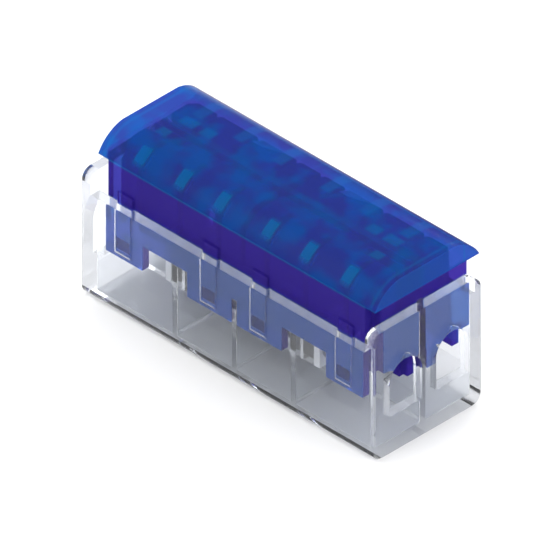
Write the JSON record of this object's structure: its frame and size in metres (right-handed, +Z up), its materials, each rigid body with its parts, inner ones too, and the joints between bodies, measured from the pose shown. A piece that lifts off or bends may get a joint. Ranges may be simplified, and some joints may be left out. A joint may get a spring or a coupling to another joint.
{
  "type": "sealed splice box",
  "caption": "Clear tray with a tinted lift-off lid, sealing gel and two in-line splices, with wire openings at both ends.",
  "frame": {"origin": "middle of the tray's outline, on the flat face it stands on", "axes": "+X along the box, -Y towards the latch side with the guide pads, +Z up"},
  "size_m": [0.0606, 0.0236, 0.0289],
  "materials": {
    "clear_tray": "clear, polished",
    "tinted_lid": "clear blue, polished",
    "sealing_gel": "clear soft gel",
    "clear_sleeve": "clear",
    "splice_plug": "frosted",
    "current_bar": "tinned copper",
    "spring_steel": "bright spring steel"
  },
  "bodies": {
    "box": {"tray": "clear_tray", "tray_gel_front_1": "sealing_gel", "tray_gel_front_2": "sealing_gel", "tray_gel_front_3": "sealing_gel", "tray_gel_front_4": "sealing_gel", "tray_gel_back_1": "sealing_gel", "tray_gel_back_2": "sealing_gel", "tray_gel_back_3": "sealing_gel", "tray_gel_back_4": "sealing_gel", "splice_front_sleeve": "clear_sleeve", "splice_front_plug_right": "splice_plug", "splice_front_plug_left": "splice_plug", "splice_front_bar": "current_bar", "splice_front_spring_right": "spring_steel", "splice_front_spring_left": "spring_steel", "splice_back_sleeve": "clear_sleeve", "splice_back_plug_right": "splice_plug", "splice_back_plug_left": "splice_plug", "splice_back_bar": "current_bar", "splice_back_spring_right": "spring_steel", "splice_back_spring_left": "spring_steel"},
    "lid": {"lid": "tinted_lid", "lid_gel_front_right": "sealing_gel", "lid_gel_front_left": "sealing_gel", "lid_gel_back_right": "sealing_gel", "lid_gel_back_left": "sealing_gel"}
  },
  "joints": [
    {"name": "lid_lift", "type": "slide", "parent": "box", "child": "lid", "axis": [0, 0, 1], "range_m": [0, 0.03]}
  ]
}
